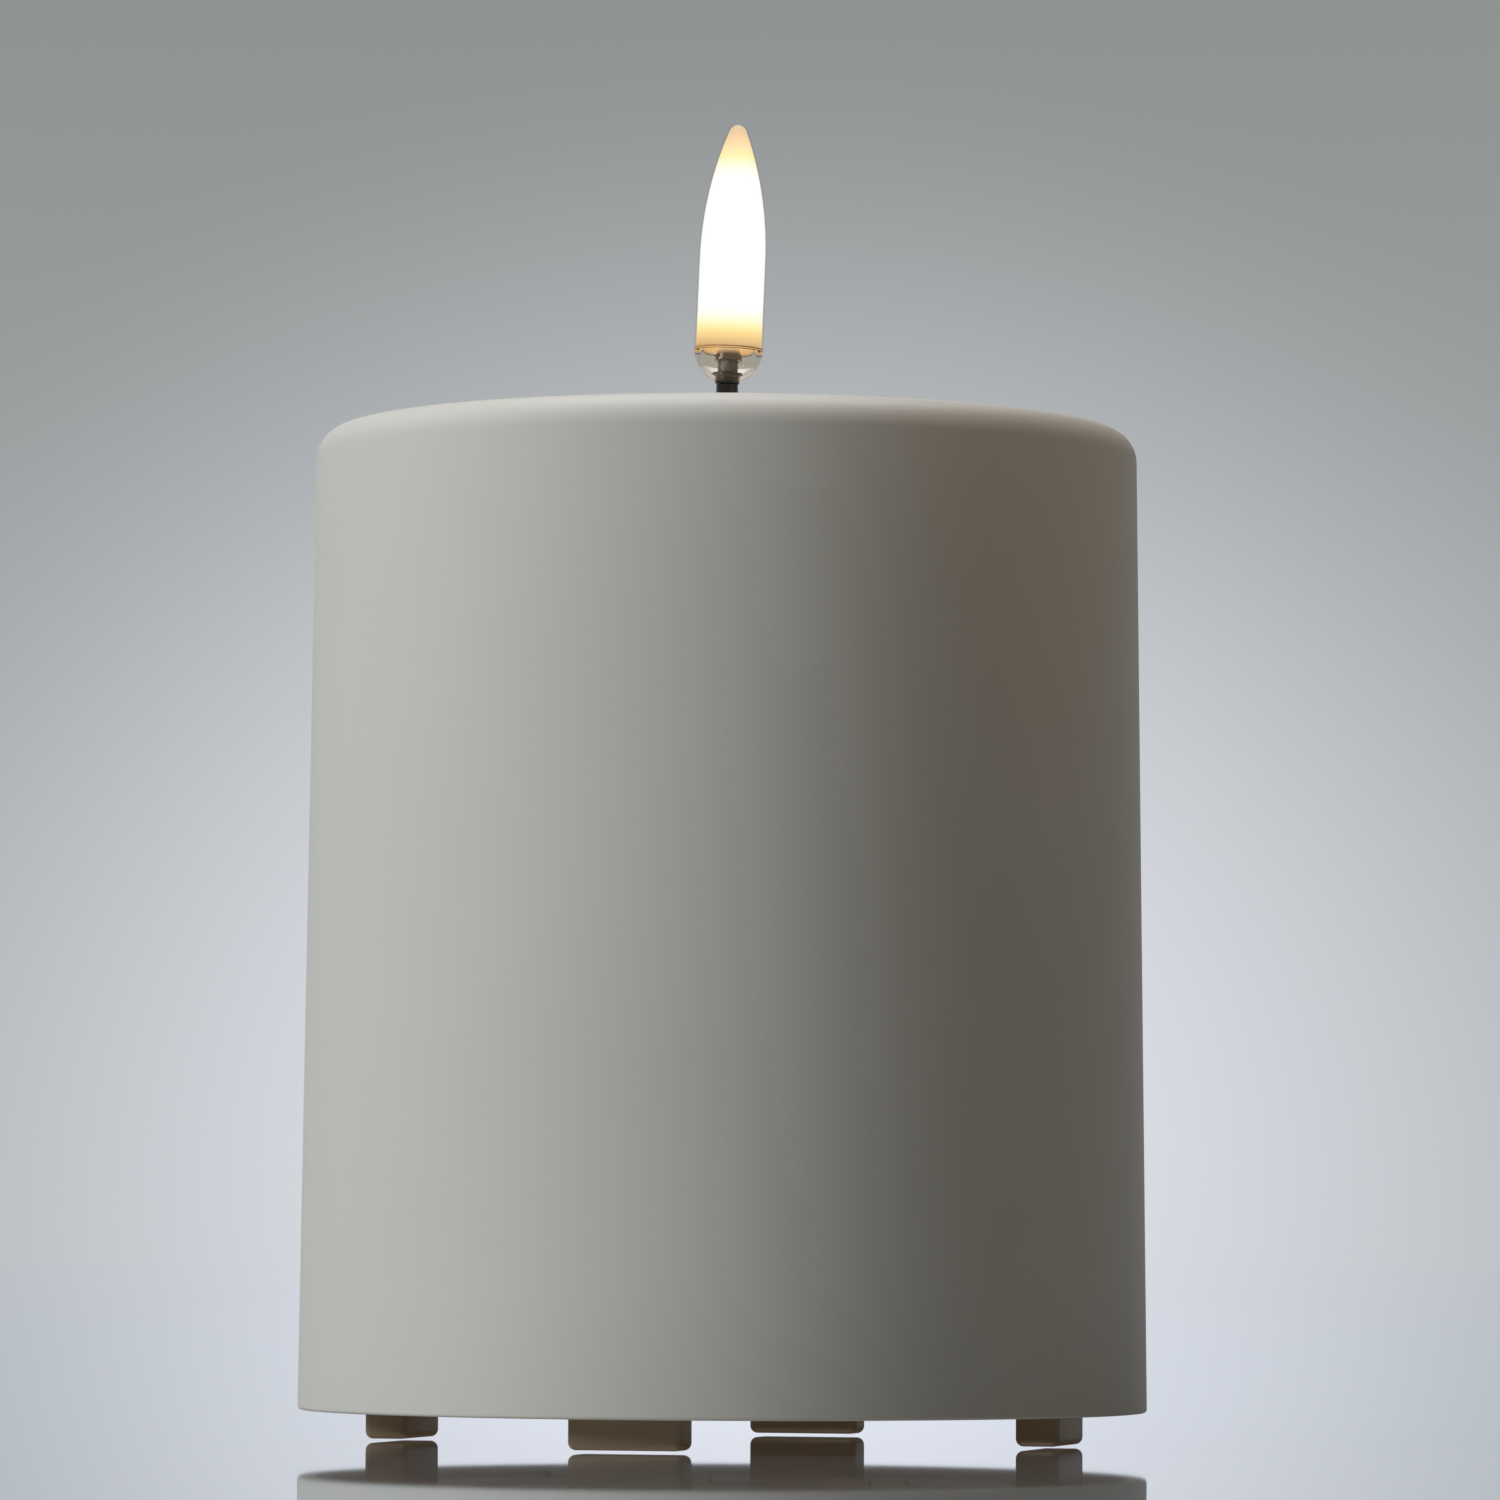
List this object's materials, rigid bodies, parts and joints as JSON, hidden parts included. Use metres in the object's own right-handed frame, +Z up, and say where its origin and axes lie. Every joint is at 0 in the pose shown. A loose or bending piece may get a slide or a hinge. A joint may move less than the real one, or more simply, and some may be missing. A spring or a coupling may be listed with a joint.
{
  "type": "led pillar candle",
  "caption": "Tapered plastic pillar candle on short feet with a glowing flame-shaped lamp on a thin wick, and a hinged battery door and a slide switch underneath.",
  "frame": {"origin": "centre of the footprint on the table, level with the lower faces of the feet", "axes": "+Z up along the pillar, the feet on the X and Y axes, the battery door's hinge on the +Y side and the switch on the -Y side"},
  "size_m": [0.101, 0.101, 0.1579],
  "materials": {
    "shell_plastic": "smooth satin moulded ivory plastic",
    "base_plastic": "fine moulded satin ivory plastic",
    "seal_rubber": "soft black silicone rubber",
    "screw_steel": "zinc plated steel",
    "housing_plastic": "black moulded plastic",
    "cell_jacket": "bare printed-free metallic jacket",
    "contact_steel": "nickel plated sheet",
    "spring_steel": "nickel plated wire",
    "pin_steel": "drawn steel pin",
    "switch_steel": "tinned steel case",
    "knob_plastic": "black moulded plastic",
    "board_laminate": "green varnished laminate",
    "chip_resin": "black moulded resin",
    "capacitor_can": "sleeved aluminium can",
    "resistor_body": "lacquered beige",
    "connector_plastic": "natural nylon",
    "lead_insulation_black": "black insulated wire",
    "lead_insulation_red": "red insulated wire",
    "wick_plastic": "black moulded plastic",
    "stem_plastic": "dark grey moulded plastic",
    "led_resin": "warm clear resin, lit",
    "clear_plastic": "clear polished plastic",
    "frosted_plastic": "frosted warm white plastic, lit from inside"
  },
  "bodies": {
    "candle_body": {"candle_shell": "shell_plastic", "base_plate": "base_plastic", "base_seal": "seal_rubber", "base_screws": "screw_steel", "battery_housing": "housing_plastic", "housing_screws": "screw_steel", "battery_cell_left": "cell_jacket", "battery_cell_right": "cell_jacket", "positive_contact": "contact_steel", "negative_contact": "contact_steel", "upper_spring": "spring_steel", "hinge_pins": "pin_steel", "switch_case": "switch_steel", "switch_pins": "contact_steel", "switch_screws": "screw_steel", "driver_board": "board_laminate", "board_screws": "screw_steel", "driver_chip": "chip_resin", "timer_capacitor": "capacitor_can", "timing_crystal": "contact_steel", "board_resistors": "resistor_body", "lead_connector": "connector_plastic", "flame_leads": "lead_insulation_black", "battery_leads": "lead_insulation_red", "switch_leads": "lead_insulation_black", "wick_tube": "wick_plastic", "wick_retainer": "housing_plastic", "wick_collar": "wick_plastic", "led_stem": "stem_plastic", "flame_led": "led_resin", "flame_cup": "clear_plastic", "flame_sleeve": "frosted_plastic"},
    "door": {"battery_door": "base_plastic", "door_seal": "seal_rubber", "bridge_contact": "contact_steel", "door_spring": "spring_steel"},
    "knob": {"switch_knob": "knob_plastic"}
  },
  "joints": [
    {"name": "door_hinge", "type": "hinge", "parent": "candle_body", "child": "door", "pos_m": [0, 0.0207, 0.0059], "axis": [1, 0, 0], "range_deg": [0, 105]},
    {"name": "switch_slide", "type": "slide", "parent": "candle_body", "child": "knob", "axis": [1, 0, 0], "range_m": [0, 0.004]}
  ]
}
